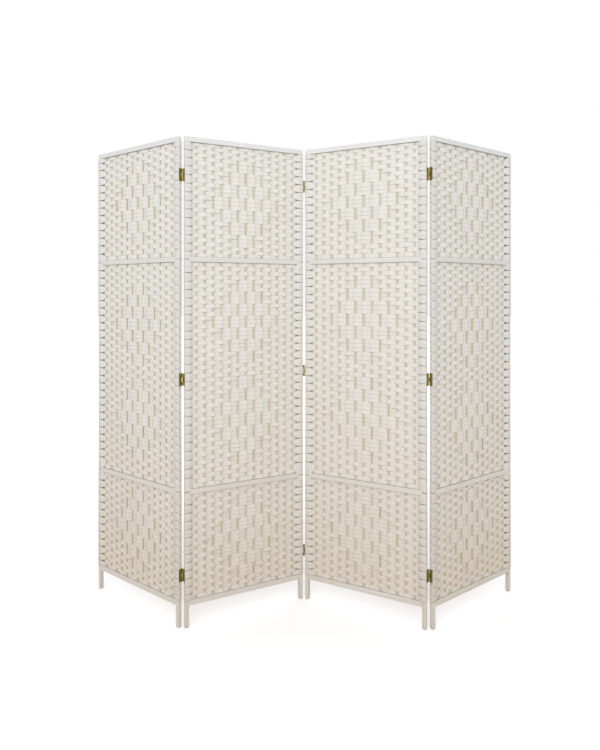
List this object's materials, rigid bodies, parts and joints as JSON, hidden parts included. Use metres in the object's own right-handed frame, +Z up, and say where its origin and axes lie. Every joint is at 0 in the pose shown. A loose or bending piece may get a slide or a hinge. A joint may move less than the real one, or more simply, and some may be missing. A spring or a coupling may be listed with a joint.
{
  "type": "folding screen",
  "caption": "Folding screen of woven paper-fibre panels in slim painted frames with cane stakes, joined by brass hinges that fold in alternate directions.",
  "frame": {"origin": "bottom centre of the box round the screen as it stands in a W", "axes": "+Z up, +X to the right along the screen, +Y towards the back, away from the side on which the first and third joints stand out"},
  "size_m": [1.7082, 0.3268, 1.8],
  "materials": {
    "painted_wood": "off-white satin paint",
    "cane": "natural split cane",
    "woven_strip": "crinkled off-white paper-fibre strip",
    "brass": "lacquered brass, dulled",
    "glide": "moulded off-white plastic"
  },
  "bodies": {
    "panel_1": {"panel_1_left_post": "painted_wood", "panel_1_right_post": "painted_wood", "panel_1_top_rail": "painted_wood", "panel_1_upper_crossbar": "painted_wood", "panel_1_lower_crossbar": "painted_wood", "panel_1_bottom_rail": "painted_wood", "panel_1_canes": "cane", "panel_1_weave_top": "woven_strip", "panel_1_weave_middle": "woven_strip", "panel_1_weave_bottom": "woven_strip", "panel_1_feet": "glide", "hinge_1_2_left_leaves": "brass", "hinge_1_2_pins": "brass"},
    "panel_2": {"panel_2_left_post": "painted_wood", "panel_2_right_post": "painted_wood", "panel_2_top_rail": "painted_wood", "panel_2_upper_crossbar": "painted_wood", "panel_2_lower_crossbar": "painted_wood", "panel_2_bottom_rail": "painted_wood", "panel_2_canes": "cane", "panel_2_weave_top": "woven_strip", "panel_2_weave_middle": "woven_strip", "panel_2_weave_bottom": "woven_strip", "panel_2_feet": "glide", "hinge_1_2_right_leaves": "brass", "hinge_2_3_left_leaves": "brass", "hinge_2_3_pins": "brass"},
    "panel_3": {"panel_3_left_post": "painted_wood", "panel_3_right_post": "painted_wood", "panel_3_top_rail": "painted_wood", "panel_3_upper_crossbar": "painted_wood", "panel_3_lower_crossbar": "painted_wood", "panel_3_bottom_rail": "painted_wood", "panel_3_canes": "cane", "panel_3_weave_top": "woven_strip", "panel_3_weave_middle": "woven_strip", "panel_3_weave_bottom": "woven_strip", "panel_3_feet": "glide", "hinge_2_3_right_leaves": "brass", "hinge_3_4_left_leaves": "brass", "hinge_3_4_pins": "brass"},
    "panel_4": {"panel_4_left_post": "painted_wood", "panel_4_right_post": "painted_wood", "panel_4_top_rail": "painted_wood", "panel_4_upper_crossbar": "painted_wood", "panel_4_lower_crossbar": "painted_wood", "panel_4_bottom_rail": "painted_wood", "panel_4_canes": "cane", "panel_4_weave_top": "woven_strip", "panel_4_weave_middle": "woven_strip", "panel_4_weave_bottom": "woven_strip", "panel_4_feet": "glide", "hinge_3_4_right_leaves": "brass"}
  },
  "joints": [
    {"name": "fold_1_2", "type": "hinge", "parent": "panel_2", "child": "panel_1", "pos_m": [-0.45281, -0.14098, 0.913], "axis": [0, 0, 1], "range_deg": [-115, 65]},
    {"name": "fold_2_3", "type": "hinge", "parent": "panel_2", "child": "panel_3", "pos_m": [-0.00064, 0.06853, 0.913], "axis": [0, 0, 1], "range_deg": [-125, 55]},
    {"name": "fold_3_4", "type": "hinge", "parent": "panel_3", "child": "panel_4", "pos_m": [0.4478, -0.14884, 0.913], "axis": [0, 0, 1], "range_deg": [-65, 115]}
  ]
}
